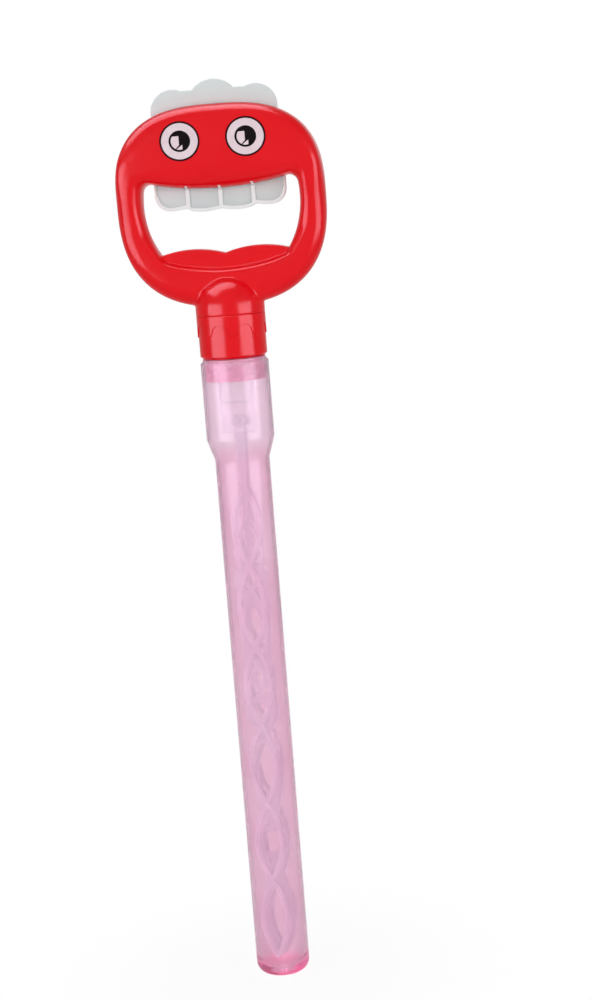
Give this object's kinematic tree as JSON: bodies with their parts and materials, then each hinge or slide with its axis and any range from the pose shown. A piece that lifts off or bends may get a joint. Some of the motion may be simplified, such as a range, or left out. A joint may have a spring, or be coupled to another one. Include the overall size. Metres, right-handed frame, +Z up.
{
  "type": "bubble wand",
  "caption": "Toy bubble wand: a ring grip shaped as a toothy face on a cap, with a clear stem and a fan of hinged loop arms that store inside a slim translucent tube.",
  "frame": {"origin": "centre of the tube's foot, on the surface that it stands on", "axes": "+Z up along the wand to the crest, -Y towards the face, +X to the right as seen from the front"},
  "size_m": [0.0878, 0.0292, 0.3887],
  "materials": {
    "tube_pink": "glossy translucent pink",
    "spout_pink": "glossy translucent pink",
    "seal": "soft satin",
    "shell_red": "high gloss",
    "plate_white": "satin gloss",
    "eye_white": "gloss print",
    "eye_black": "gloss print",
    "stem_clear": "clear gloss",
    "arm_milky": "translucent satin"
  },
  "bodies": {
    "tube": {"tube": "tube_pink", "spout": "spout_pink"},
    "seal_ring": {"seal_ring": "seal"},
    "wand": {"cap": "shell_red", "front_shell": "shell_red", "rear_shell": "shell_red", "tooth_plate": "plate_white", "left_eye_white": "eye_white", "right_eye_white": "eye_white", "left_pupil": "eye_black", "right_pupil": "eye_black", "eye_outlines": "eye_black", "eye_glints": "eye_white", "stem": "stem_clear", "arm_pin": "stem_clear", "arm_pin_cap": "stem_clear", "arm_3": "arm_milky"},
    "arm_1": {"arm_1": "arm_milky"},
    "arm_2": {"arm_2": "arm_milky"},
    "arm_4": {"arm_4": "arm_milky"},
    "arm_5": {"arm_5": "arm_milky"}
  },
  "joints": [
    {"name": "draw", "type": "slide", "parent": "tube", "child": "seal_ring", "axis": [0, 0, 1], "range_m": [0, 0.285], "deforming": ["arm_1", "arm_2", "arm_4", "arm_5"]},
    {"name": "twist", "type": "hinge", "parent": "seal_ring", "child": "wand", "pos_m": [0, 0, 0.2849], "axis": [0, 0, 1], "continuous": true},
    {"name": "arm_1_spread", "type": "hinge", "parent": "wand", "child": "arm_1", "pos_m": [0, 0, 0.2461], "axis": [0, 1, 0], "range_deg": [0, 29.6]},
    {"name": "arm_2_spread", "type": "hinge", "parent": "wand", "child": "arm_2", "pos_m": [0, 0, 0.2461], "axis": [0, 1, 0], "range_deg": [0, 12.3]},
    {"name": "arm_4_spread", "type": "hinge", "parent": "wand", "child": "arm_4", "pos_m": [0, 0, 0.2461], "axis": [0, -1, 0], "range_deg": [0, 12.3]},
    {"name": "arm_5_spread", "type": "hinge", "parent": "wand", "child": "arm_5", "pos_m": [0, 0, 0.2461], "axis": [0, -1, 0], "range_deg": [0, 29.6]}
  ],
  "couplings": [
    {"joint": "arm_1_spread", "follows": "draw", "rad_per_m": 1.81},
    {"joint": "arm_2_spread", "follows": "draw", "rad_per_m": 0.753},
    {"joint": "arm_4_spread", "follows": "draw", "rad_per_m": 0.753},
    {"joint": "arm_5_spread", "follows": "draw", "rad_per_m": 1.81}
  ]
}
